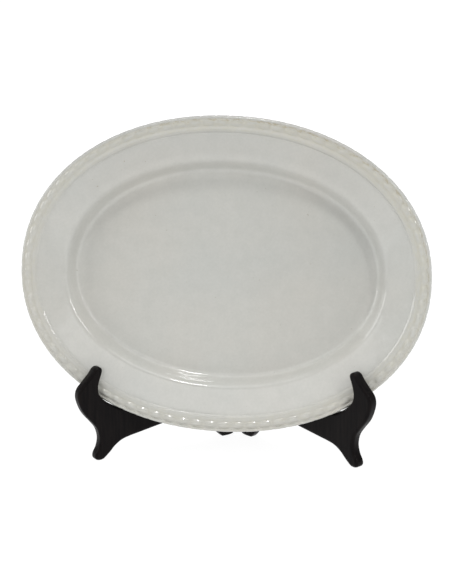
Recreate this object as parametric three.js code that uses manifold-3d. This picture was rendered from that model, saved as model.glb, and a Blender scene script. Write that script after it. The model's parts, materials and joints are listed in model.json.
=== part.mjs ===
// Oval china serving platter with a beaded rim, standing on a folding wooden display stand.
// Millimetres, +Z up. The front of the platter faces -Y. The origin is the bottom centre of
// the whole object's bounding box, on the surface that the stand's four feet rest on.
import * as THREE from "three";
import { mergeVertices } from "three/addons/utils/BufferGeometryUtils.js";
import Module from "manifold-3d";

const wasm = await Module();
wasm.setup();

// ---- driving dimensions ----------------------------------------------------------------

// The platter's outline is a superellipse.
const HALF_LENGTH = 178;
const HALF_WIDTH = 136.2;
const OUTLINE_POWER = 2.09;

// The platter on the stand: its rim's centre measured from the hinge axis, its backward
// lean, and how far it is turned in its own plane, with the right end lower.
const RIM_CENTRE = new THREE.Vector3(-3, -58.8, 162.3);
const LEAN = THREE.MathUtils.degToRad(8.9);
const TURN = THREE.MathUtils.degToRad(1.9);

// Heights are measured from the plane of the rim's front, insets from the rim's outer edge.
const WELL_INSET = 48;
const WELL_DEPTH = 20.5;
const BASE_THICKNESS = 5;
const FOOT_RING_DROP = 2.5;

// Each panel of the stand opens by this angle from the plane of symmetry.
const OPEN_ANGLE = THREE.MathUtils.degToRad(52.5);
const BOARD_THICKNESS = 10;
const EDGE_ROUNDING = 1.8;

// Distances from the hinge axis: to a board's inner face, and to its rear edge.
const INNER_FACE_OFFSET = 0.5;
const REAR_EDGE = 2;

// Brass butt hinges.
const HINGE_HEIGHT = 28;
const HINGE_CENTRES = { lower: 52, upper: 150 };
const KNUCKLE_COUNT = 5;
const KNUCKLE_RADIUS = 1.75;
const KNUCKLE_GAP = 0.3;
const BORE_RADIUS = 0.97;
const PIN_RADIUS = 0.87;
const PIN_HEAD_RADIUS = 1.5;
const PIN_HEAD_HEIGHT = 0.9;
const LEAF_THICKNESS = 0.9;
const LEAF_WIDTH = 8.6;

// Countersunk wood screws, two in each leaf.
const SCREW_SPACING = 17;
const SCREW_LENGTH = 9;
const SHANK_RADIUS = 1;
const HEAD_RADIUS = 2.1;
const HEAD_HEIGHT = 1;
const SLOT_WIDTH = 0.6;
const SLOT_DEPTH = 0.45;

// Clearance between neighbouring pieces.
const CLEARANCE = 0.3;

// Fineness of the oval, and of pins, knuckles and screws.
const PLATTER_SEGMENTS = 72;
const ROUND_SEGMENTS = 12;

// ---- dimensions that follow from them --------------------------------------------------

const BOARD_MIDDLE = INNER_FACE_OFFSET + BOARD_THICKNESS / 2;

// A leaf lies between the hinge axis and the board's rear edge. Its plate starts just clear
// of the knuckles, and its screws sit in the middle of the plate.
const LEAF_FRONT = KNUCKLE_RADIUS;
const LEAF_BACK = LEAF_FRONT - LEAF_THICKNESS;
const LEAF_START = KNUCKLE_RADIUS + CLEARANCE;
const SCREW_OFFSET = (LEAF_START + LEAF_WIDTH) / 2;
const KNUCKLE_HEIGHT = (HINGE_HEIGHT - (KNUCKLE_COUNT - 1) * KNUCKLE_GAP) / KNUCKLE_COUNT;

// ---- materials -------------------------------------------------------------------------

const china = new THREE.MeshStandardMaterial({ color: 0xc9c8c1, roughness: 0.15, metalness: 0 });
const ebonised = new THREE.MeshStandardMaterial({ color: 0x1c1a1a, roughness: 0.35, metalness: 0 });
const brass = new THREE.MeshStandardMaterial({ color: 0xb08d4a, roughness: 0.35, metalness: 1 });

// ---- solids ----------------------------------------------------------------------------

function toSolid(geometry) {
  const bare = geometry.clone();
  bare.deleteAttribute("normal");
  bare.deleteAttribute("uv");
  const merged = mergeVertices(bare, 1e-4);
  const vertProperties = new Float32Array(merged.attributes.position.array);
  const triVerts = new Uint32Array(merged.index.array);
  return new wasm.Manifold(new wasm.Mesh({ numProp: 3, vertProperties, triVerts }));
}

function toGeometry(solid) {
  const mesh = solid.getMesh();
  const geometry = new THREE.BufferGeometry();
  geometry.setAttribute("position", new THREE.BufferAttribute(mesh.vertProperties, 3));
  geometry.setIndex(new THREE.BufferAttribute(mesh.triVerts, 1));
  const faceted = geometry.toNonIndexed();
  faceted.computeVertexNormals();
  return faceted;
}

function named(name, geometry, material) {
  const mesh = new THREE.Mesh(geometry, material);
  mesh.name = name;
  return mesh;
}

// ---- platter ---------------------------------------------------------------------------

// A point of the outline's offset curve, at a polar angle and an inset from the edge.
function ovalPoint(angle, inset) {
  const c = Math.cos(angle);
  const s = Math.sin(angle);
  const sum = Math.abs(c / HALF_LENGTH) ** OUTLINE_POWER + Math.abs(s / HALF_WIDTH) ** OUTLINE_POWER;
  const radius = sum ** (-1 / OUTLINE_POWER);
  const x = radius * c;
  const y = radius * s;
  const slopeX = (Math.sign(x) * Math.abs(x / HALF_LENGTH) ** (OUTLINE_POWER - 1)) / HALF_LENGTH;
  const slopeY = (Math.sign(y) * Math.abs(y / HALF_WIDTH) ** (OUTLINE_POWER - 1)) / HALF_WIDTH;
  const slope = Math.hypot(slopeX, slopeY);
  return new THREE.Vector2(x - (inset * slopeX) / slope, y - (inset * slopeY) / slope);
}

// The wall section as [inset, height], over the front from the well to the rim, and back
// along the underside to the foot ring and the recessed base.
function platterSection() {
  const wellHeight = -WELL_DEPTH;
  const baseHeight = wellHeight - BASE_THICKNESS;
  const ringHeight = baseHeight - FOOT_RING_DROP;
  const front = [
    [WELL_INSET, wellHeight],
    [45, wellHeight + 2.5],
    [41.4, wellHeight + 10.4],
    [38.6, -6.6],
    [35, -5.3],
    [14, -1.9],
    [10, -1.1],
    [5.5, 0],
    [2, -1.1],
  ];
  const edge = [
    [0, -3.5],
    [0, -6.5],
    [1.5, -8.6],
  ];
  const back = [
    [9, -8.8],
    [34, -10.4],
    [39, -14.5],
    [43, baseHeight + 2],
    [45, ringHeight],
    [49.5, ringHeight],
    [52, baseHeight],
  ];
  return [...front, ...edge, ...back];
}

// A round dish of the platter's section, with each vertex moved onto the oval. Inside the
// well's edge the oval shrinks evenly to the centre.
function platterGeometry() {
  const section = platterSection();
  const first = section[0];
  const last = section[section.length - 1];
  const profile = [
    new THREE.Vector2(0, last[1]),
    ...section.map(([inset, height]) => new THREE.Vector2(HALF_LENGTH - inset, height)).reverse(),
    new THREE.Vector2(0, first[1]),
  ];
  const geometry = new THREE.LatheGeometry(profile, PLATTER_SEGMENTS);
  const position = geometry.attributes.position;
  const innerRadius = HALF_LENGTH - last[0];
  for (let i = 0; i < position.count; i += 1) {
    const x = position.getX(i);
    const y = -position.getZ(i);
    const radius = Math.hypot(x, y);
    const inset = Math.min(HALF_LENGTH - radius, last[0]);
    const shrink = Math.min(radius / innerRadius, 1);
    const point = ovalPoint(Math.atan2(y, x), inset).multiplyScalar(shrink);
    position.setXYZ(i, point.x, point.y, position.getY(i));
  }
  return toGeometry(toSolid(geometry));
}

function makePlatter() {
  const platter = named("platter", platterGeometry(), china);
  platter.position.copy(RIM_CENTRE);
  platter.rotation.set(Math.PI / 2 - LEAN, 0, -TURN);
  return platter;
}

// ---- the stand's frames of reference ---------------------------------------------------

const SIDES = { left: -1, right: 1 };

// One half of the stand: x runs forward from the hinge axis along the board, y is up, and z
// runs across the board, away from its inner face on the left and towards it on the right.
function halfStandGroup(side) {
  const forward = new THREE.Vector3(side * Math.sin(OPEN_ANGLE), -Math.cos(OPEN_ANGLE), 0);
  const up = new THREE.Vector3(0, 0, 1);
  const across = forward.clone().cross(up);
  const group = new THREE.Group();
  group.quaternion.setFromRotationMatrix(new THREE.Matrix4().makeBasis(forward, up, across));
  return group;
}

// The z of a point that lies a given distance outward from the plane of symmetry when the
// stand is folded shut.
function outward(side, distance) {
  return -side * distance;
}

// ---- stand panels ----------------------------------------------------------------------

// The board's outline: x is the distance forward from the hinge axis, y the height.
function panelShape() {
  const shape = new THREE.Shape();
  const curveThrough = (list) => shape.splineThru(list.map(([x, y]) => new THREE.Vector2(x, y)));
  // rear foot's flat, then the rear edge that carries the hinges
  shape.moveTo(14.5, 0);
  shape.lineTo(9, 0);
  curveThrough([[6, 0.4], [3.6, 1.3], [2.3, 3.2], [REAR_EDGE, 7]]);
  shape.lineTo(REAR_EDGE, 182);
  // rounded head of the post
  curveThrough([[3.6, 194], [11, 204.8], [23, 209.6], [35.5, 208], [44.6, 201.4], [47.5, 192.5]]);
  // front edge of the post, sweeping down into the beam
  curveThrough([[45.4, 180], [40, 160], [36, 134], [37.8, 108], [46, 83], [61, 63.5], [80, 51.8], [97, 48.4]]);
  // cradle under the rim
  curveThrough([[106, 46.2], [112, 44.6], [118, 45.1], [124, 47.9], [130, 51.8], [134, 55.2]]);
  // throat and inner edge of the prong
  curveThrough([[137, 60.2], [137.4, 65.8], [136.3, 71.2], [134.7, 76], [133.3, 79.6]]);
  // tip of the prong, and its belly
  curveThrough([[133.6, 82.6], [136.6, 84.4], [140.4, 83], [144.2, 78.2], [150.5, 71.8], [155.6, 66.3], [157.2, 60]]);
  curveThrough([[155.6, 52.4], [151.6, 43.9], [145, 35.8], [139.8, 28.6], [137.7, 20]]);
  // front foot
  curveThrough([[139.1, 12.4], [142.3, 6.6], [143, 2.6], [141, 0]]);
  shape.lineTo(135, 0);
  // arch between the feet
  curveThrough([[131.4, 2.9], [127.3, 6.6], [122.9, 10.9], [116.4, 14.9], [109, 17], [96.4, 19.2]]);
  curveThrough([[81.5, 21.8], [64, 24.6], [46, 25], [33, 20.5], [24, 12.5], [18.6, 4], [14.5, 0]]);
  return shape;
}

// A cylinder between two heights of its own axis, with one radius at each end.
function roundBar(radiusStart, radiusEnd, start, end) {
  const bar = new THREE.CylinderGeometry(radiusEnd, radiusStart, end - start, ROUND_SEGMENTS);
  return bar.translate(0, (start + end) / 2, 0);
}

// The same bar laid along a half stand's forward direction, on a screw's axis.
function barAlongScrew(side, height, radiusStart, radiusEnd, start, end) {
  const bar = roundBar(radiusStart, radiusEnd, start, end).rotateZ(-Math.PI / 2);
  return bar.translate(0, height, outward(side, SCREW_OFFSET));
}

function screwHeights(centre) {
  return { top: centre + SCREW_SPACING / 2, bottom: centre - SCREW_SPACING / 2 };
}

function panelGeometry(side) {
  const board = new THREE.ExtrudeGeometry(panelShape(), {
    depth: BOARD_THICKNESS - 2 * EDGE_ROUNDING,
    curveSegments: 2,
    bevelEnabled: true,
    bevelThickness: EDGE_ROUNDING,
    bevelSize: EDGE_ROUNDING,
    bevelOffset: -EDGE_ROUNDING,
    bevelSegments: 2,
  });
  board.translate(0, 0, EDGE_ROUNDING - BOARD_THICKNESS / 2 + outward(side, BOARD_MIDDLE));
  let solid = toSolid(board);
  const holeRadius = SHANK_RADIUS + CLEARANCE;
  const holeStart = REAR_EDGE - 1;
  const holeEnd = LEAF_BACK + SCREW_LENGTH + CLEARANCE;
  for (const centre of Object.values(HINGE_CENTRES)) {
    for (const height of Object.values(screwHeights(centre))) {
      const hole = barAlongScrew(side, height, holeRadius, holeRadius, holeStart, holeEnd);
      solid = solid.subtract(toSolid(hole));
    }
  }
  return toGeometry(solid);
}

// ---- hinges ----------------------------------------------------------------------------

// A plate of the leaf's thickness, from one outward distance to another.
function leafPlate(side, from, to, low, high) {
  const plate = new THREE.BoxGeometry(LEAF_THICKNESS, high - low, to - from);
  const middle = (LEAF_BACK + LEAF_FRONT) / 2;
  return plate.translate(middle, (low + high) / 2, outward(side, (from + to) / 2));
}

// The left leaf carries the odd knuckles and the right leaf the ones between them.
function leafGeometry(side, centre) {
  const low = centre - HINGE_HEIGHT / 2;
  const high = centre + HINGE_HEIGHT / 2;
  let solid = toSolid(leafPlate(side, LEAF_START, LEAF_WIDTH, low, high));
  for (let i = side === SIDES.left ? 0 : 1; i < KNUCKLE_COUNT; i += 2) {
    const bottom = low + i * (KNUCKLE_HEIGHT + KNUCKLE_GAP);
    const top = bottom + KNUCKLE_HEIGHT;
    solid = solid.add(toSolid(leafPlate(side, 0, LEAF_START + 1, bottom, top)));
    solid = solid.add(toSolid(roundBar(KNUCKLE_RADIUS, KNUCKLE_RADIUS, bottom, top)));
  }
  solid = solid.subtract(toSolid(roundBar(BORE_RADIUS, BORE_RADIUS, low - 1, high + 1)));
  const wide = HEAD_RADIUS + CLEARANCE;
  const narrow = SHANK_RADIUS + CLEARANCE;
  for (const height of Object.values(screwHeights(centre))) {
    const countersink = barAlongScrew(side, height, wide, narrow, LEAF_BACK, LEAF_BACK + HEAD_HEIGHT);
    const mouth = barAlongScrew(side, height, wide, wide, LEAF_BACK - 1, LEAF_BACK);
    solid = solid.subtract(toSolid(countersink)).subtract(toSolid(mouth));
  }
  return toGeometry(solid);
}

// Pin with a low domed head at each end.
function pinGeometry(centre) {
  const half = HINGE_HEIGHT / 2 + CLEARANCE;
  const headEnd = half + PIN_HEAD_HEIGHT;
  const upperHalf = [
    [PIN_RADIUS, half],
    [PIN_HEAD_RADIUS, half],
    [PIN_HEAD_RADIUS, half + PIN_HEAD_HEIGHT / 3],
    [PIN_HEAD_RADIUS / 2, headEnd],
    [0, headEnd],
  ];
  const lowerHalf = upperHalf.map(([radius, height]) => [radius, -height]).reverse();
  const profile = [...lowerHalf, ...upperHalf].map(([radius, height]) => new THREE.Vector2(radius, height));
  const geometry = new THREE.LatheGeometry(profile, ROUND_SEGMENTS);
  return toGeometry(toSolid(geometry.translate(0, centre, 0)));
}

// ---- screws ----------------------------------------------------------------------------

// Countersunk wood screw, driven forward into the board, with a slot across its head.
function screwGeometry(side, height) {
  const headEnd = LEAF_BACK + HEAD_HEIGHT;
  const tipStart = LEAF_BACK + SCREW_LENGTH - 2 * SHANK_RADIUS;
  const tipEnd = LEAF_BACK + SCREW_LENGTH;
  const stretches = [
    [HEAD_RADIUS, SHANK_RADIUS, LEAF_BACK, headEnd],
    [SHANK_RADIUS, SHANK_RADIUS, headEnd, tipStart],
    [SHANK_RADIUS, SHANK_RADIUS / 5, tipStart, tipEnd],
  ];
  let solid = null;
  for (const stretch of stretches) {
    const part = toSolid(barAlongScrew(side, height, ...stretch));
    solid = solid === null ? part : solid.add(part);
  }
  const slot = new THREE.BoxGeometry(2 * SLOT_DEPTH, SLOT_WIDTH, 3 * HEAD_RADIUS);
  slot.rotateX(Math.PI / 5);
  slot.translate(LEAF_BACK, height, outward(side, SCREW_OFFSET));
  return toGeometry(solid.subtract(toSolid(slot)));
}

// ---- assembly --------------------------------------------------------------------------

function makeHalfStand(sideName) {
  const side = SIDES[sideName];
  const half = halfStandGroup(side);
  half.add(named(`${sideName}_panel`, panelGeometry(side), ebonised));
  for (const [hinge, centre] of Object.entries(HINGE_CENTRES)) {
    half.add(named(`${hinge}_hinge_${sideName}_leaf`, leafGeometry(side, centre), brass));
    for (const [place, height] of Object.entries(screwHeights(centre))) {
      half.add(named(`${hinge}_hinge_${sideName}_${place}_screw`, screwGeometry(side, height), brass));
    }
  }
  return half;
}

function makePins() {
  const pins = halfStandGroup(SIDES.left);
  for (const [hinge, centre] of Object.entries(HINGE_CENTRES)) {
    pins.add(named(`${hinge}_hinge_pin`, pinGeometry(centre), brass));
  }
  return pins;
}

// Moves the group so that the origin is the bottom centre of its bounding box.
function centreOnFloor(group) {
  group.updateMatrixWorld(true);
  const box = new THREE.Box3().setFromObject(group, true);
  group.position.set(-(box.min.x + box.max.x) / 2, -(box.min.y + box.max.y) / 2, -box.min.z);
}

const object = new THREE.Group();
object.add(makePlatter());
object.add(makeHalfStand("left"));
object.add(makeHalfStand("right"));
object.add(makePins());
centreOnFloor(object);

export default object;
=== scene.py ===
"""China serving platter on its folding display stand: looks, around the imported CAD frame.

Lengths are millimetres and are multiplied by MM where they are used. Only what the frame gives, the
lights, the floor, the clipping distances and the bump depths are in metres. Polar angles of the
platter's rim count from its right end, and its top is at 90 degrees.
"""

import json
import math

import bmesh
import bpy
import numpy as np
from mathutils import Matrix, Vector


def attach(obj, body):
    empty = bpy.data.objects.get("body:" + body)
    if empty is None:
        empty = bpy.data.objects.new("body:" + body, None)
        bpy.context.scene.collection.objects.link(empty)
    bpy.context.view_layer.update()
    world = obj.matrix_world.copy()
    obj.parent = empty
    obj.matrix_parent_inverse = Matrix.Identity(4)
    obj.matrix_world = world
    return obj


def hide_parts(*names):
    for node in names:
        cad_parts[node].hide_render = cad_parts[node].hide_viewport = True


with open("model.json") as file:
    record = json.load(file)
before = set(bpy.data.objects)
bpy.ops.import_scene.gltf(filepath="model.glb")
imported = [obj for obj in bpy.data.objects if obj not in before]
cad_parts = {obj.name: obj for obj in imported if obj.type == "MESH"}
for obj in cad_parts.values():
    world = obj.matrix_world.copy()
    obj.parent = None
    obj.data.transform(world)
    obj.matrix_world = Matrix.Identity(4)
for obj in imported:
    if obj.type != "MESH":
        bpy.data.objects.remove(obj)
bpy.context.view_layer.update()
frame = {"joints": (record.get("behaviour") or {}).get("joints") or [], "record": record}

MM = 0.001
RIM_RIGHT = 0.0
RIM_TOP = math.radians(90)

# ---- what the frame gives ---------------------------------------------------------------

MOUNTS = {m["name"]: m for m in frame["record"]["mounts"]}
FOLD = next(j for j in frame["joints"] if j["name"] == "left_fold")
HINGE_AXIS = Vector((FOLD["pos_m"][0], FOLD["pos_m"][1], 0.0))
OPEN_ANGLE = math.radians(FOLD["range_deg"][1])
FACING = Vector(MOUNTS["well_floor"]["axis"]).normalized()
LEAN = math.asin(FACING.z)

# ---- platter ----------------------------------------------------------------------------

HALF_LENGTH = 178.0
HALF_WIDTH = 136.2
OUTLINE_POWER = 2.09
TURN = math.radians(1.9)
WELL_DEPTH = 20.5
RIM_CENTRE = Vector(MOUNTS["well_floor"]["pos_m"]) + FACING * WELL_DEPTH * MM

# The beads: their line is an inset from the rim's edge, their half length a share of one bead's
# pitch. They are crispest at one polar angle and worn everywhere else. Here and below, a SPREAD is
# the (gain, drop) with which `near` falls away from such an angle.
BEAD_COUNT = 80
COLUMNS_PER_BEAD = 12
BEAD_LINE = 6.2
BEAD_BAND = (2.4, 10.0)
BEAD_HALF_LENGTH = 0.43
BEAD_HALF_WIDTH = 2.9
BEAD_HEIGHT = 1.3
BEAD_SLANT = 0.05
BEAD_POWER = 2.6
BEAD_SOFTNESS = 1.15
CRISPEST = math.radians(-98)
CRISP_SPREAD = (1.6, 0.3)
WORN_BEAD_SHARE = 0.5

# A shallow moat outside the crispest beads, and a groove inside the fillet. The groove is
# deepest where the rim is stained most.
MOAT_INSET = 3.3
MOAT_HALF_WIDTH = 1.0
MOAT_DEPTH = 0.38
GROOVE_INSET = 14.5
GROOVE_HALF_WIDTH = 0.55
GROOVE_DEPTH = 0.3
GROOVE_SPREAD = (1.3, 0.0)
WORN_GROOVE_SHARE = 0.15

# A small notch in the edge and in the top of the lip, between each bead and the next.
NOTCH_DEPTH = 0.25
NOTCH_HALF_WIDTH = 0.09
NOTCH_REACH = 2.8
NOTCH_BOTTOM = -8
LIP_TOP_INSET = 1.6

# Stain, dirt, and painted light and shade, placed by polar angle and by inset.
STAIN_CENTRE = math.radians(60)
STAIN_SPREAD = (0.6, -0.5)
STAIN_END = 15.0
STAIN_INNER_FADE = 3.0
STAIN_OUTER_FADE = 0.8
LEAST_STAINED = 0.55
# The stain stops short of the edge, further at the top. The clean top edge is partly a real clean edge,
# partly painted light.
CLEAN_LIT_EDGE_BELOW = 0.2
CLEAN_LIT_EDGE_ABOVE = 2.3
CLEAN_LIT_EDGE_SPREAD = (1.0, -0.4)
DIRT_SPREAD = (1.0, 0.0)
DIRT_LINE = 6.2
DIRT_FADE = 2.5
LEAST_DIRT = 0.1
# Painted shade on the top of the dish, a band of painted light on the wall, and painted shade in the
# well.
TOP_PAINTED_SHADE = 0.12
TOP_SHADE_SPREAD = (1.6, 0.25)
TOP_SHADE_END = 40.0
TOP_SHADE_FADE = 10.0
WALL_PAINTED_LIGHT = 0.11
WALL_SPREAD = (1.0, -0.95)
WALL_LINE = 48.0
WALL_PLATEAU = 1.4
WALL_FADE = 5.7
MOST_LIT_WALL = math.radians(45)
MOST_LIT_WALL_SPREAD = (0.5, -0.5)
LEAST_WALL_LIGHT_SHARE = 0.55
MOST_WALL_LIGHT_SHARE = 1.05
WELL_EDGE = 45.0
WELL_FADE = 3.0
WELL_SHADING_RIGHT = 0.07
WELL_SPREAD = (1.0, 0.0)
WELL_SHADING_ABOVE = 0.06
WELL_SHADING_LIMIT = 0.4

# The section as (inset from the rim's edge, height over the rim's plane).
WALL = [(56, -20.5), (52, -20.47), (49, -20.4), (47, -20), (45.6, -18.9), (44.4, -16.6),
        (42.9, -13.2), (41.4, -10.1), (39.8, -7.7), (37.9, -6.2), (35, -5.4), (31, -4.75)]
MARLY = [(31, -4.75), (24, -3.6), (18, -2.65), (15.5, -2.3)]
FILLET = [(15.5, -2.3), (14.8, -2.2), (14.3, -2.05), (13.8, -1.75), (13.3, -1.45), (12.6, -1.25),
          (11.4, -1.2), (10.3, -1.3), (9.4, -1.45)]
BEAD_BED = [(9.4, -1.45), (8.6, -1.45), (7.4, -1.35), (6.2, -1.3), (5, -1.4), (4, -1.5), (3.2, -1.55)]
LIP = [(3.2, -1.55), (2.5, -1.4), (1.8, -1.2), (1.1, -1.4), (0.45, -2.2), (0.1, -3.4), (0, -4.8),
       (0.1, -6), (0.6, -7.2), (1.5, -8.1), (3, -8.7), (6, -9)]
UNDERSIDE = [(6, -9), (10, -9.1), (16, -9.4), (26, -10.1), (33, -11), (36.6, -12.4), (38.9, -14.8),
             (40.6, -18), (42, -21.4), (43.1, -24.2), (43.9, -26.4), (44.8, -27.6), (46, -28)]
FOOT_RING = [(46, -28), (47.2, -28), (48.4, -28), (49.3, -27.7), (50.1, -27), (51, -26.1),
             (52.2, -25.6), (54, -25.5), (58, -25.5)]

# Each stretch of the section with the rows it gets between two of its points, from the well's
# floor round the rim to the middle of the back. The front ends at one point of the lip, and the
# rings that fill the floor and the back are scaled towards the centre.
SECTION = [(WALL, 2), (MARLY, 3), (FILLET, 2), (BEAD_BED, 3), (LIP, 2), (UNDERSIDE, 1), (FOOT_RING, 1)]
FRONT_END = (0.1, -6)
CENTRE_RINGS = [0.9, 0.7, 0.4, 0.1]

# ---- small helpers ----------------------------------------------------------------------


def catmull_rom(points, steps):
    """The points of a smooth curve through `points`, `steps` to each stretch, ends included."""
    p = np.array(points, float)
    padded = np.vstack([p[:1], p, p[-1:]])
    out = []
    for i in range(len(p) - 1):
        a, b, c, d = padded[i:i + 4]
        v0 = (c - a) / 2
        v1 = (d - b) / 2
        cubic = 2 * b - 2 * c + v0 + v1
        square = 3 * c - 3 * b - 2 * v0 - v1
        for t in np.arange(steps) / steps:
            out.append(cubic * t ** 3 + square * t ** 2 + v0 * t + b)
    out.append(p[-1])
    return np.array(out)


def blend(low, high, share):
    """From `low` to `high` as `share` goes from 0 to 1, and no further on either side."""
    return low + (high - low) * np.clip(share, 0, 1)


def near(angle, centre, spread):
    """1 about a polar angle, 0 far from it. A higher gain falls off faster, a lower drop later."""
    gain, drop = spread
    return np.clip(gain * np.cos(angle - centre) - drop, 0, 1)


def bell(value, centre, half_width):
    """1 at the centre, falling smoothly to 0 on both sides."""
    return np.exp(-((value - centre) / half_width) ** 2)


def add_object(name, data):
    obj = bpy.data.objects.new(name, data)
    bpy.context.scene.collection.objects.link(obj)
    return obj


def new_object(name, vertices, faces):
    mesh = bpy.data.meshes.new(name)
    mesh.from_pydata([tuple(v) for v in vertices], [], faces)
    mesh.validate()
    return add_object(name, mesh)


def ring_faces(ring_count, columns, capped=True):
    """Faces between closed rings of vertices, with a cap on the first and on the last ring."""
    faces = []
    for ring in range(ring_count - 1):
        here = ring * columns
        above = here + columns
        for c in range(columns):
            d = (c + 1) % columns
            faces.append((here + c, here + d, above + d, above + c))
    if capped:
        faces.append(tuple(range(columns))[::-1])
        faces.append(tuple(range((ring_count - 1) * columns, ring_count * columns)))
    return faces


def evaluated_mesh(obj):
    """A new mesh of the object as it looks with its curve settings or its modifiers."""
    return bpy.data.meshes.new_from_object(obj.evaluated_get(bpy.context.evaluated_depsgraph_get()))


def shade_smooth(obj):
    obj.data.polygons.foreach_set("use_smooth", [True] * len(obj.data.polygons))


def float_attribute(obj, name, values):
    attribute = obj.data.attributes.new(name, "FLOAT", "POINT")
    attribute.data.foreach_set("value", np.asarray(values, np.float32))


# ---- platter mesh -----------------------------------------------------------------------


def oval(angle, inset):
    """Points of the outline's offset curves, for arrays of polar angles and of insets."""
    c, s = np.cos(angle), np.sin(angle)
    radius = (np.abs(c / HALF_LENGTH) ** OUTLINE_POWER + np.abs(s / HALF_WIDTH) ** OUTLINE_POWER)
    radius = radius ** (-1 / OUTLINE_POWER)
    x, y = radius * c, radius * s
    nx = np.sign(x) * np.abs(x / HALF_LENGTH) ** (OUTLINE_POWER - 1) / HALF_LENGTH
    ny = np.sign(y) * np.abs(y / HALF_WIDTH) ** (OUTLINE_POWER - 1) / HALF_WIDTH
    n = np.hypot(nx, ny)
    return x - inset * nx / n, y - inset * ny / n


def even_angles(count):
    """Polar angles that space `count` columns evenly along the line of beads."""
    fine = np.linspace(0, 2 * math.pi, 20001)
    x, y = oval(fine, BEAD_LINE)
    length = np.concatenate([[0], np.cumsum(np.hypot(np.diff(x), np.diff(y)))])
    return np.interp(np.arange(count) / count * length[-1], length, fine)


def bead_relief(along, inset):
    """Height that the beads add. `along` runs from -0.5 to 0.5 over one bead."""
    across = (inset - BEAD_LINE) / BEAD_HALF_WIDTH
    slid = np.abs(along - BEAD_SLANT * across) / BEAD_HALF_LENGTH
    dome = 1 - slid ** BEAD_POWER - np.abs(across) ** BEAD_POWER
    return BEAD_HEIGHT * np.clip(dome, 0, 1) ** BEAD_SOFTNESS


def section_rows():
    """The section from the well's centre round to the back's: points, front or not, and scale."""
    stretches = [catmull_rom(points, steps)[:-1] for points, steps in SECTION]
    section = np.vstack(stretches + [FOOT_RING[-1:]])
    front_rows = np.argmin(np.hypot(*(section - FRONT_END).T))
    pad = len(CENTRE_RINGS)
    row = np.clip(np.arange(-pad, len(section) + pad), 0, len(section) - 1)
    scale = np.concatenate([CENTRE_RINGS[::-1], np.ones(len(section)), CENTRE_RINGS])
    return section[row], row < front_rows, scale


def wear_and_painted_light_maps(angle, inset, is_front, scale, bead):
    """What the glaze reads at each vertex, by name.

    The rim is creamed by age all round, mostly at the upper right. The stain stops short of the
    edge, further at the top, and that clean top edge is partly a real clean edge, partly painted
    light. Brown dirt has stayed in the same place, along the beads' outer side. The hollows between
    the beads get one mask for the dirt and for painted shade. The top of the dish carries a little
    painted shade, the wall a pale band of painted light, strongest at the upper right, and the
    well painted shade, darker to the right and towards the top, as the light of a large white
    room would shade them.
    """
    in_band = (inset > BEAD_BAND[0]) & (inset < BEAD_BAND[1])
    crevice = (1 - bead / BEAD_HEIGHT) * in_band * is_front
    # The clean top edge is partly a real clean edge, partly painted light.
    clean_lit_share = near(angle, RIM_TOP, CLEAN_LIT_EDGE_SPREAD)
    clean_lit_edge = blend(CLEAN_LIT_EDGE_BELOW, CLEAN_LIT_EDGE_ABOVE, clean_lit_share)
    stain = np.clip((inset - clean_lit_edge) / STAIN_OUTER_FADE, 0, 1)
    stain = stain * np.clip((STAIN_END - inset) / STAIN_INNER_FADE, 0, 1) * is_front
    stain = stain * blend(LEAST_STAINED, 1, near(angle, STAIN_CENTRE, STAIN_SPREAD))
    dirt = near(angle, STAIN_CENTRE, DIRT_SPREAD)
    dirt = dirt * np.clip((DIRT_LINE - inset) / DIRT_FADE, LEAST_DIRT, 1)
    # Painted shade over the top of the dish.
    top_shade = near(angle, RIM_TOP, TOP_SHADE_SPREAD)
    top_shade = top_shade * np.clip((TOP_SHADE_END - inset) / TOP_SHADE_FADE, 0, 1)
    # A pale band of painted light on the wall, strongest at the upper right.
    on_wall = np.clip(WALL_PLATEAU - np.abs(inset - WALL_LINE) / WALL_FADE, 0, 1)
    on_wall = on_wall * near(angle, RIM_TOP, WALL_SPREAD)
    most_lit = near(angle, MOST_LIT_WALL, MOST_LIT_WALL_SPREAD)
    on_wall = on_wall * blend(LEAST_WALL_LIGHT_SHARE, MOST_WALL_LIGHT_SHARE, most_lit)
    # Painted shade in the well, darker to the right and towards the top, lighter towards the bottom.
    well_shading = WELL_SHADING_RIGHT * near(angle, RIM_RIGHT, WELL_SPREAD)
    well_shading = well_shading + WELL_SHADING_ABOVE * np.minimum(np.sin(angle), WELL_SHADING_LIMIT)
    well_shading = well_shading * scale * np.clip((inset - WELL_EDGE) / WELL_FADE, 0, 1)
    return {
        "inset": inset,
        "front": is_front,
        "crevice": crevice,
        "stain": stain,
        "dirt": dirt,
        # painted light and shade of the top, the wall and the well
        "painted_light_and_shade": 1 - TOP_PAINTED_SHADE * top_shade + WALL_PAINTED_LIGHT * on_wall - well_shading,
        "rim_cos": np.cos(angle),
        "rim_sin": np.sin(angle),
    }


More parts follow.
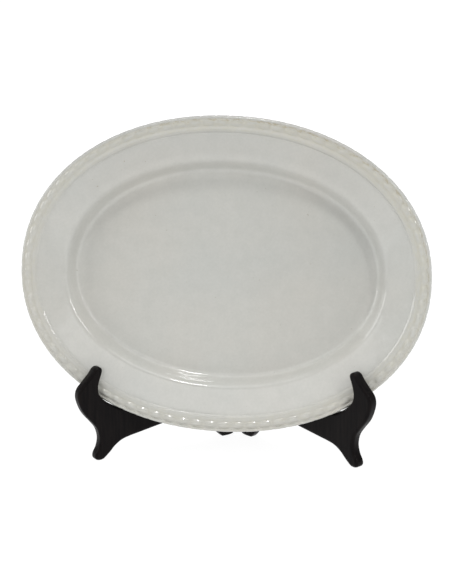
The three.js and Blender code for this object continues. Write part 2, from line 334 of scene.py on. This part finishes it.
def platter_mesh():
    """Closed rings of vertices, one for each row of the section. `along` is as in bead_relief."""
    section, is_front, scale = section_rows()
    is_front, scale = is_front[:, None], scale[:, None]
    inset, height = section[:, :1], section[:, 1:]
    columns = BEAD_COUNT * COLUMNS_PER_BEAD
    angle = even_angles(columns)[None, :]
    along = (np.arange(columns) % COLUMNS_PER_BEAD + 0.5)[None, :] / COLUMNS_PER_BEAD - 0.5
    near_crispest = near(angle, CRISPEST, CRISP_SPREAD)
    bead = bead_relief(along, inset) * is_front
    moat = MOAT_DEPTH * bell(inset, MOAT_INSET, MOAT_HALF_WIDTH) * near_crispest
    groove = GROOVE_DEPTH * bell(inset, GROOVE_INSET, GROOVE_HALF_WIDTH)
    groove = groove * blend(WORN_GROOVE_SHARE, 1, near(angle, STAIN_CENTRE, GROOVE_SPREAD))
    notch = NOTCH_DEPTH * bell(0.5 - np.abs(along), 0, NOTCH_HALF_WIDTH)
    in_edge = np.clip(1 - inset / NOTCH_REACH, 0, 1) * (height > NOTCH_BOTTOM)
    in_lip_top = np.clip(1 - np.abs(inset - LIP_TOP_INSET) / LIP_TOP_INSET, 0, 1)
    x, y = oval(angle, inset + notch * in_edge)
    raised = bead * blend(WORN_BEAD_SHARE, 1, near_crispest)
    z = height + (raised - moat - groove - notch * in_lip_top) * is_front
    vertices = np.stack([x * scale, y * scale, z], -1).reshape(-1, 3)
    obj = new_object("china_platter", vertices * MM, ring_faces(len(section), columns))
    for name, values in wear_and_painted_light_maps(angle, inset, is_front, scale, bead).items():
        float_attribute(obj, name, np.broadcast_to(values, z.shape).ravel())
    shade_smooth(obj)
    place = Matrix.Translation(RIM_CENTRE) @ Matrix.Rotation(math.pi / 2 - LEAN, 4, "X")
    obj.data.transform(place @ Matrix.Rotation(-TURN, 4, "Z"))
    return obj


# ---- stand boards -----------------------------------------------------------------------

BOARD_THICKNESS = 10.0
INNER_FACE_OFFSET = 0.5
REAR_EDGE = 2.0
EDGE_ROUNDING = 2.7

# The board's outline as (forward from the hinge axis, height): each list is one smooth
# curve, and a straight edge joins each list's end to the next one's start.
OUTLINE = [
    [(9, 0), (6, 0.4), (3.6, 1.3), (2.3, 3.2), (REAR_EDGE, 7)],
    [(REAR_EDGE, 182), (3.6, 194), (11, 204.8), (23, 209.6), (35.5, 208), (44.6, 201.4),
     (47.5, 192.5), (45.4, 180), (40, 160), (36, 134), (37.8, 108), (46, 83), (61, 63.5),
     (80, 51.8), (97, 48.4), (106, 46.2), (112, 44.6), (118, 45.1), (124, 47.9), (130, 52),
     (134, 55.7), (136.9, 60.6), (137.4, 65.9), (136.3, 71.2), (134.7, 76), (133.3, 79.6),
     (133.6, 82.6), (136.6, 84.4), (140.4, 83), (144.2, 78.2), (150.5, 71.8), (155.6, 66.3),
     (157.2, 60), (155.6, 52.4), (151.6, 43.9), (145, 35.8), (139.8, 28.6), (137.7, 20),
     (139.1, 12.4), (142, 6.9), (142.7, 3.2), (141.4, 0.9), (138.9, 0)],
    [(137.2, 0), (134.4, 0.8), (131.2, 3.2), (127.3, 6.6), (122.9, 10.9), (116.4, 14.9),
     (109, 17), (96.4, 19.2), (81.5, 21.8), (64, 24.6), (46, 25), (33, 20.5), (24, 12.5),
     (18.6, 4), (14.5, 0)],
]
OUTLINE_STEPS = 5
ROUNDING_STEPS = 6


def half_stand_frame(side):
    """x forward along the board, y up, z across it: outward on the left, inward on the right."""
    forward = Vector((side * math.sin(OPEN_ANGLE), -math.cos(OPEN_ANGLE), 0))
    up = Vector((0, 0, 1))
    across = forward.cross(up)
    turn = Matrix((forward, up, across)).transposed().to_4x4()
    return Matrix.Translation(HINGE_AXIS) @ turn


def board_mesh(name, side):
    """The outline, filled and rounded on both faces, as a curve turned into a mesh."""
    outline = np.vstack([catmull_rom(points, OUTLINE_STEPS) for points in OUTLINE])
    curve = bpy.data.curves.new(name + "_outline", "CURVE")
    curve.dimensions = "2D"
    curve.fill_mode = "BOTH"
    curve.extrude = (BOARD_THICKNESS / 2 - EDGE_ROUNDING) * MM
    curve.bevel_depth = EDGE_ROUNDING * MM
    curve.bevel_resolution = ROUNDING_STEPS
    curve.offset = -EDGE_ROUNDING * MM
    spline = curve.splines.new("POLY")
    spline.points.add(len(outline) - 1)
    for point, (x, y) in zip(spline.points, outline):
        point.co = (x * MM, y * MM, 0, 1)
    spline.use_cyclic_u = True
    holder = add_object(name + "_outline", curve)
    mesh = evaluated_mesh(holder)
    mesh.name = name
    bpy.data.objects.remove(holder)
    obj = add_object(name, mesh)
    middle = -side * (INNER_FACE_OFFSET + BOARD_THICKNESS / 2) * MM
    obj.data.transform(half_stand_frame(side) @ Matrix.Translation((0, 0, middle)))
    return obj


# ---- brass hinges -----------------------------------------------------------------------

HINGE_CENTRES = {"lower": 52.0, "upper": 150.0}
LEAF_HEIGHT = 28.0
LEAF_BACK = 0.85
LEAF_FRONT = 1.75
LEAF_START = 2.05
LEAF_END = 8.6
LEAF_ROUNDING = 0.16
KNUCKLE_COUNT = 5
KNUCKLE_GAP = 0.3
KNUCKLE_RADIUS = 1.75
KNUCKLE_HEIGHT = (LEAF_HEIGHT - (KNUCKLE_COUNT - 1) * KNUCKLE_GAP) / KNUCKLE_COUNT
KNUCKLE_CHAMFER = 0.15
STRAP_START = 0.4
STRAP_OVERLAP = 1.0
STRAP_CLEARANCE = 0.06
STRAP_SETBACK = 0.01
STRAP_ROUNDING = 0.08
BORE_RADIUS = 0.97
PIN_RADIUS = 0.87
SCREW_ACROSS = 5.325
SCREW_SPACING = 17.0
SLOT_TURN = math.radians(36)
SLOT_WIDTH = 0.6
SLOT_DEPTH = 0.45
SLOT_HALF_LENGTH = 3.0
SCREW_HEAD_RISE = 0.1
ROUND_SEGMENTS = 40
BEVEL_SEGMENTS = 3
CREASE_ANGLE = math.radians(32)

# Profiles as (radius, distance along the axis).
KNUCKLE = [(BORE_RADIUS, 0), (KNUCKLE_RADIUS - KNUCKLE_CHAMFER, 0), (KNUCKLE_RADIUS, KNUCKLE_CHAMFER),
           (KNUCKLE_RADIUS, KNUCKLE_HEIGHT - KNUCKLE_CHAMFER),
           (KNUCKLE_RADIUS - KNUCKLE_CHAMFER, KNUCKLE_HEIGHT),
           (BORE_RADIUS, KNUCKLE_HEIGHT), (BORE_RADIUS, 0)]
PIN_HALF = [(PIN_RADIUS, 0), (PIN_RADIUS, 14.3), (1.4, 14.3), (1.5, 14.4), (1.5, 14.6), (1.3, 14.9),
            (0.9, 15.1), (0.45, 15.19), (0.01, 15.2)]
SCREW = [(0.01, -SCREW_HEAD_RISE), (0.8, -0.08), (1.6, -0.02), (2.02, 0.05), (2.08, 0.12), (1, 1),
         (1, 7.4), (0.01, 9)]


def lathe(name, profile, along_x=False):
    """A turned piece round the y axis, or round the x axis. A profile that closes makes a ring."""
    vertices = []
    for radius, along in profile:
        for step in range(ROUND_SEGMENTS):
            angle = step / ROUND_SEGMENTS * 2 * math.pi
            u = radius * math.cos(angle)
            v = radius * math.sin(angle)
            vertices.append((along, u, v) if along_x else (v, along, u))
    is_open = profile[0] != profile[-1]
    return new_object(name, np.array(vertices) * MM, ring_faces(len(profile), ROUND_SEGMENTS, is_open))


def rounded_box(name, low, high, rounding):
    x, y, z = zip(low, high)
    corners = [(x[i] * MM, y[j] * MM, z[k] * MM) for i in (0, 1) for j in (0, 1) for k in (0, 1)]
    faces = [(0, 1, 3, 2), (4, 6, 7, 5), (0, 4, 5, 1), (2, 3, 7, 6), (0, 2, 6, 4), (1, 5, 7, 3)]
    obj = new_object(name, corners, faces)
    if rounding:
        shape = bmesh.new()
        shape.from_mesh(obj.data)
        bmesh.ops.bevel(shape, geom=shape.edges, offset=rounding * MM, segments=BEVEL_SEGMENTS,
                        profile=0.5, affect="EDGES")
        shape.to_mesh(obj.data)
        shape.free()
    return obj


def join(name, pieces):
    """One object from several, whose meshes keep their places."""
    shape = bmesh.new()
    for piece in pieces:
        shape.from_mesh(piece.data)
        bpy.data.objects.remove(piece)
    mesh = bpy.data.meshes.new(name)
    shape.to_mesh(mesh)
    shape.free()
    return add_object(name, mesh)


def cut(obj, cutter):
    """Takes the cutter out of the object, and removes the cutter."""
    modifier = obj.modifiers.new("cut", "BOOLEAN")
    modifier.operation = "DIFFERENCE"
    modifier.solver = "EXACT"
    modifier.object = cutter
    bpy.context.view_layer.update()
    mesh = evaluated_mesh(obj)
    obj.modifiers.clear()
    obj.data = mesh
    bpy.data.objects.remove(cutter)


def shade_by_angle(obj):
    """Smooth shading, but for edges sharper than CREASE_ANGLE."""
    shade_smooth(obj)
    shape = bmesh.new()
    shape.from_mesh(obj.data)
    for edge in shape.edges:
        edge.smooth = len(edge.link_faces) == 2 and edge.calc_face_angle() < CREASE_ANGLE
    shape.to_mesh(obj.data)
    shape.free()


def outward_box(side, x, y, outward, rounding):
    """A rounded box between pairs of distances; `outward` is counted away from the other board."""
    z = sorted(-side * value for value in outward)
    return rounded_box("box", (x[0], y[0], z[0]), (x[1], y[1], z[1]), rounding)


def leaf(name, side, centre):
    """The plate, and every second knuckle with the strap that joins it to the plate."""
    low = centre - LEAF_HEIGHT / 2
    plate_sides = (LEAF_BACK, LEAF_FRONT)
    plate_heights = (low, low + LEAF_HEIGHT)
    pieces = [outward_box(side, plate_sides, plate_heights, (LEAF_START, LEAF_END), LEAF_ROUNDING)]
    strap_sides = (BORE_RADIUS + STRAP_CLEARANCE, LEAF_FRONT - STRAP_SETBACK)
    strap_reach = (STRAP_START, LEAF_START + STRAP_OVERLAP)
    for i in range(0 if side < 0 else 1, KNUCKLE_COUNT, 2):
        bottom = low + i * (KNUCKLE_HEIGHT + KNUCKLE_GAP)
        strap_heights = (bottom, bottom + KNUCKLE_HEIGHT)
        pieces.append(outward_box(side, strap_sides, strap_heights, strap_reach, STRAP_ROUNDING))
        knuckle = lathe("knuckle", KNUCKLE)
        knuckle.data.transform(Matrix.Translation((0, bottom * MM, 0)))
        pieces.append(knuckle)
    return join(name, pieces)


def pin(name, centre):
    profile = [(radius, -along) for radius, along in reversed(PIN_HALF[1:])] + PIN_HALF[1:]
    obj = lathe(name, profile)
    obj.data.transform(Matrix.Translation((0, centre * MM, 0)))
    return obj


def screw(name, side, height):
    """A countersunk screw with a slot, its head towards the rear of the stand."""
    obj = lathe(name, SCREW, along_x=True)
    low = (-1, -SLOT_HALF_LENGTH, -SLOT_WIDTH / 2)
    high = (SLOT_DEPTH - SCREW_HEAD_RISE, SLOT_HALF_LENGTH, SLOT_WIDTH / 2)
    slot = rounded_box("slot", low, high, 0)
    slot.data.transform(Matrix.Rotation(SLOT_TURN, 4, "X"))
    cut(obj, slot)
    obj.data.transform(Matrix.Translation((LEAF_BACK * MM, height * MM, -side * SCREW_ACROSS * MM)))
    return obj


def fit_brass(obj, side, body):
    """Places a hinge's piece, and puts it in for the solid of the same name. A pin lies on the axis
    and has no side of its own, so either side places it."""
    obj.data.transform(half_stand_frame(side))
    shade_by_angle(obj)
    obj.data.materials.clear()
    obj.data.materials.append(brass)
    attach(obj, body)
    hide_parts(obj.name.removesuffix("_brass"))


# ---- materials --------------------------------------------------------------------------


def rgb(red, green, blue):
    return (red, green, blue, 1.0)


COOL_GLAZE = rgb(0.476, 0.479, 0.452)
WARM_GLAZE = rgb(0.495, 0.487, 0.452)
CRAZING = rgb(0.50, 0.45, 0.34)
CREAM_STAIN = rgb(0.49, 0.462, 0.345)
# Painted shade in the hollows between the beads.
HOLLOW_PAINTED_SHADE = rgb(0.42, 0.40, 0.33)
BROWN_DIRT = rgb(0.30, 0.26, 0.17)
SPECK = rgb(0.30, 0.27, 0.22)
BARE_CLAY = rgb(0.60, 0.54, 0.43)
STAIN_STRENGTH = 0.38
HOLLOW_SHADE_STRENGTH = 0.18
DIRT_STRENGTH = 0.9
SPECK_STRENGTH = 0.6
GLAZE_IOR = 1.6

# Noise in rim coordinates runs in streaks along the rim: one unit is a radian round it.
RIM_UNITS_PER_MM = 0.02
# The insets at which the foot ring's wear starts, is full, fades and ends.
FOOT_RING_WEAR = (45.2, 46.2, 48.3, 49.2)

BLACK_LACQUER = rgb(0.0020, 0.0015, 0.0018)
THIN_LACQUER = rgb(0.0064, 0.0048, 0.0046)
RUBBED_WOOD = rgb(0.055, 0.032, 0.018)

BRIGHT_BRASS = rgb(0.64, 0.44, 0.17)
BROWNED_BRASS = rgb(0.25, 0.16, 0.075)

ACRYLIC = rgb(0.12, 0.12, 0.12)
WHITE = rgb(1, 1, 1)


class Graph:
    """A new material whose nodes are added one at a time and wired to a Principled shader."""

    def __init__(self, name):
        self.material = bpy.data.materials.new(name)
        self.material.use_nodes = True
        self.nodes = self.material.node_tree.nodes
        self.links = self.material.node_tree.links
        self.shader = self.nodes["Principled BSDF"]

    def add(self, kind, output, inputs, **settings):
        """Adds a node and returns its output. An input is a number, a colour or another output."""
        node = self.nodes.new(kind)
        for key, value in settings.items():
            setattr(node, key, value)
        for key, value in inputs.items():
            self.put(node.inputs[key], value)
        return node.outputs[output]

    def put(self, socket, value):
        if isinstance(value, bpy.types.NodeSocket):
            self.links.new(value, socket)
        else:
            socket.default_value = value

    def set(self, **inputs):
        for key, value in inputs.items():
            self.put(self.shader.inputs[key.replace("_", " ")], value)

    def place(self):
        return self.add("ShaderNodeTexCoord", "Object", {})

    def stretched(self, scale):
        return self.add("ShaderNodeMapping", "Vector", {"Vector": self.place(), "Scale": scale})

    def attribute(self, name):
        return self.add("ShaderNodeAttribute", "Fac", {}, attribute_name=name)

    def noise(self, scale, detail=2.0, place=None, rough=0.5):
        inputs = {"Scale": scale, "Detail": detail, "Roughness": rough, "Vector": place or self.place()}
        return self.add("ShaderNodeTexNoise", "Fac", inputs)

    def cracks(self, scale):
        inputs = {"Scale": scale, "Vector": self.place()}
        return self.add("ShaderNodeTexVoronoi", "Distance", inputs, feature="DISTANCE_TO_EDGE")

    def fit(self, value, low, high, to_low=0.0, to_high=1.0, smooth=False):
        """Maps `low` to `high` onto `to_low` to `to_high`, and holds the ends beyond."""
        inputs = {"Value": value, "From Min": low, "From Max": high,
                  "To Min": to_low, "To Max": to_high}
        kind = "SMOOTHSTEP" if smooth else "LINEAR"
        return self.add("ShaderNodeMapRange", "Result", inputs, interpolation_type=kind)

    def maths(self, operation, a, b):
        return self.add("ShaderNodeMath", "Value", {0: a, 1: b}, operation=operation)

    def times(self, a, b):
        return self.maths("MULTIPLY", a, b)

    def mix(self, a, b, factor):
        inputs = {"Factor": factor, 6: a, 7: b}
        return self.add("ShaderNodeMix", 2, inputs, data_type="RGBA")

    def shade(self, colour, value):
        """A colour multiplied by a grey value."""
        grey = self.add("ShaderNodeCombineColor", "Color", {"Red": value, "Green": value, "Blue": value})
        inputs = {"Factor": 1.0, 6: colour, 7: grey}
        return self.add("ShaderNodeMix", 2, inputs, data_type="RGBA", blend_type="MULTIPLY")

    def bump(self, *layers):
        """Stacks (height output, depth in metres) layers into one normal."""
        normal = None
        for height, depth in layers:
            inputs = {"Height": height, "Distance": depth, "Strength": 1.0}
            if normal is not None:
                inputs["Normal"] = normal
            normal = self.add("ShaderNodeBump", "Normal", inputs)
        return normal


def glaze_material():
    """Aged white ironstone glaze: mottled, with cream stain, brown dirt and painted shade among the
    beads, and painted light and shade on the top, the wall and the well.
    """
    g = Graph("aged_white_glaze")
    inset = g.attribute("inset")
    crevice = g.attribute("crevice")
    is_back = g.fit(g.attribute("front"), 0, 1, 1.0, 0.0)
    across_rim = g.times(inset, RIM_UNITS_PER_MM)
    rim_place = {"X": g.attribute("rim_cos"), "Y": g.attribute("rim_sin"), "Z": across_rim}
    round_rim = g.add("ShaderNodeCombineXYZ", "Vector", rim_place)

    colour = g.mix(COOL_GLAZE, WARM_GLAZE, g.fit(g.noise(9, 2), 0.35, 0.65))
    blotch = g.fit(g.noise(95, 4), 0.3, 0.7, 0.975, 1.02)
    grain = g.fit(g.noise(480, 3), 0.3, 0.7, 0.975, 1.02)
    colour = g.shade(colour, g.times(blotch, grain))

    crack_lines = g.fit(g.cracks(170), 0.0, 0.02, 1.0, 0.0)
    crazed_places = g.fit(g.noise(25, 2), 0.5, 0.7, 0.0, 0.10)
    colour = g.mix(colour, CRAZING, g.times(crack_lines, crazed_places))

    streaks = g.fit(g.noise(22, 6, round_rim, 0.65), 0.36, 0.66, 0.12, 1.0, smooth=True)
    stain = g.times(g.attribute("stain"), streaks)
    colour = g.mix(colour, CREAM_STAIN, g.times(stain, STAIN_STRENGTH))
    # Painted light and shade of the top, the wall and the well.
    colour = g.shade(colour, g.attribute("painted_light_and_shade"))
    # Painted shade in the hollows between the beads.
    colour = g.mix(colour, HOLLOW_PAINTED_SHADE, g.times(crevice, HOLLOW_SHADE_STRENGTH))

    dirt_patches = g.fit(g.noise(40, 6, round_rim, 0.7), 0.47, 0.62, smooth=True)
    dirt = g.times(g.times(crevice, dirt_patches), g.attribute("dirt"))
    colour = g.mix(colour, BROWN_DIRT, g.times(dirt, DIRT_STRENGTH))
    specks = g.fit(g.noise(330, 1), 0.795, 0.82)
    colour = g.mix(colour, SPECK, g.times(specks, SPECK_STRENGTH))

    start, full, fading, end = FOOT_RING_WEAR
    on_ring = g.times(g.fit(inset, start, full), g.fit(inset, fading, end, 1.0, 0.0))
    worn = g.times(on_ring, is_back)
    colour = g.mix(colour, BARE_CLAY, g.times(worn, g.fit(g.noise(120, 4), 0.35, 0.6, 0.3, 0.9)))

    rough = g.fit(g.noise(140, 3), 0.3, 0.7, 0.07, 0.12)
    rough = g.maths("ADD", rough, g.maths("ADD", g.times(worn, 0.4), g.times(dirt, 0.3)))
    waves = g.noise(34, 2)
    orange_peel = g.noise(420, 2)
    g.set(Base_Color=colour, Roughness=rough, IOR=GLAZE_IOR)
    g.set(Normal=g.bump((waves, 0.0006), (orange_peel, 0.00002)))
    return g.material


def wood_material():
    """Black lacquered wood: a faint vertical grain, and brown wear where the edges are rubbed."""
    g = Graph("ebonised_lacquer")
    grain_place = g.stretched((1.0, 1.0, 0.07))
    grain = g.noise(420, 5, grain_place, 0.6)
    colour = g.mix(BLACK_LACQUER, THIN_LACQUER, g.fit(grain, 0.35, 0.65))
    edge = g.fit(g.add("ShaderNodeNewGeometry", "Pointiness", {}), 0.52, 0.58)
    wear = g.times(edge, g.fit(g.noise(160, 4), 0.52, 0.68))
    colour = g.mix(colour, RUBBED_WOOD, g.times(wear, 0.7))
    rough = g.fit(g.noise(150, 4), 0.3, 0.7, 0.30, 0.42)
    g.set(Base_Color=colour, Roughness=rough, IOR=1.5, Specular_IOR_Level=0.08)
    brush_marks = g.noise(60, 3)
    g.set(Normal=g.bump((brush_marks, 0.0003), (grain, 0.00004)))
    return g.material


def brass_material():
    """Old brass, browned in patches, with fine rubbing marks."""
    g = Graph("aged_brass")
    patches = g.fit(g.noise(260, 4), 0.4, 0.68)
    colour = g.mix(BRIGHT_BRASS, BROWNED_BRASS, patches)
    g.set(Base_Color=colour, Metallic=1.0)
    g.set(Roughness=g.fit(patches, 0, 1, 0.27, 0.55))
    marks = g.noise(1500, 3, g.stretched((1.0, 1.0, 0.15)))
    g.set(Normal=g.bump((marks, 0.00003)))
    return g.material


def floor_material():
    """White translucent acrylic, lit from below, so that shadows on it stay faint."""
    g = Graph("lit_white_acrylic")
    cloud = g.fit(g.noise(40, 3), 0.3, 0.7, 0.995, 1.0)
    g.set(Base_Color=g.shade(ACRYLIC, cloud), Roughness=0.9)
    g.set(Emission_Color=WHITE, Emission_Strength=FLOOR_GLOW)
    return g.material


# ---- studio -----------------------------------------------------------------------------

CAMERA_PLACE = (199.8, -1460.0, 502.1)
CAMERA_TARGET = (2.5, -15.9, 147.7)
CAMERA_ROLL = math.radians(-0.93)
LENS = 107.73
SENSOR = 36.0
CLIP_START = 0.05
CLIP_END = 100
FLOOR_HALF_SIZE = 15.0
WORLD_STRENGTH = 0.37
FLOOR_GLOW = 0.95
TOP_LIGHT_STRENGTH = 1.1
TOP_LIGHT_SPREAD = math.radians(60)
LIGHT_TARGET = (0, 0, 0.16)

# Each light's name, place, size and power in watts.
LIGHTS = [
    ("side_strip", (1.28, -0.97, 1.19), (0.15, 0.75), 8),
    ("overhead", (0.0, -0.7, 2.1), (0.26, 0.26), 8),
    ("front_high", (-0.4, -2.35, 1.15), (1.4, 1.0), 5.5),
    ("left_soft", (-2.0, -0.8, 0.9), (1.2, 1.2), 14),
    ("right_soft", (2.2, -1.0, 0.7), (1.2, 1.2), 4),
]


def aimed(place, target):
    """The matrix of something at `place` that looks at `target`."""
    turn = (target - place).to_track_quat("-Z", "Y").to_matrix().to_4x4()
    return Matrix.Translation(place) @ turn


def make_camera():
    data = bpy.data.cameras.new("camera")
    data.lens = LENS
    data.sensor_width = SENSOR
    data.clip_start = CLIP_START
    data.clip_end = CLIP_END
    camera = add_object("camera", data)
    view = aimed(Vector(CAMERA_PLACE) * MM, Vector(CAMERA_TARGET) * MM)
    camera.matrix_world = view @ Matrix.Rotation(CAMERA_ROLL, 4, "Z")
    bpy.context.scene.camera = camera


def area_light(name, place, size, power):
    data = bpy.data.lights.new(name, "AREA")
    data.shape = "RECTANGLE"
    data.size, data.size_y = size
    data.energy = power
    add_object(name, data).matrix_world = aimed(Vector(place), Vector(LIGHT_TARGET))


def make_studio():
    h = FLOOR_HALF_SIZE
    floor = new_object("floor", [(-h, -h, 0), (h, -h, 0), (h, h, 0), (-h, h, 0)], [(0, 1, 2, 3)])
    floor.data.materials.append(floor_material())
    world = bpy.data.worlds.new("studio")
    world.use_nodes = True
    background = world.node_tree.nodes["Background"]
    background.inputs["Color"].default_value = WHITE
    background.inputs["Strength"].default_value = WORLD_STRENGTH
    bpy.context.scene.world = world
    bpy.context.scene.view_settings.view_transform = "Standard"
    for name, place, size, power in LIGHTS:
        area_light(name, place, size, power)
    sun = bpy.data.lights.new("top_light", "SUN")
    sun.energy = TOP_LIGHT_STRENGTH
    sun.angle = TOP_LIGHT_SPREAD
    add_object("top_light", sun)


# ---- assembly ---------------------------------------------------------------------------

make_camera()
make_studio()
glaze = glaze_material()
wood = wood_material()
brass = brass_material()

platter = platter_mesh()
platter.data.materials.append(glaze)
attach(platter, "platter")
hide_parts("platter")

for side_name, side in (("left", -1), ("right", 1)):
    board = board_mesh(side_name + "_board", side)
    board.data.materials.clear()
    board.data.materials.append(wood)
    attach(board, side_name + "_half")
    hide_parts(side_name + "_panel")

for hinge, centre in HINGE_CENTRES.items():
    fit_brass(pin(f"{hinge}_hinge_pin_brass", centre), -1, "hinge_pins")
    for side_name, side in (("left", -1), ("right", 1)):
        stem = f"{hinge}_hinge_{side_name}"
        body = side_name + "_half"
        fit_brass(leaf(stem + "_leaf_brass", side, centre), side, body)
        for place, step in (("top", 0.5), ("bottom", -0.5)):
            height = centre + step * SCREW_SPACING
            fit_brass(screw(f"{stem}_{place}_screw_brass", side, height), side, body)
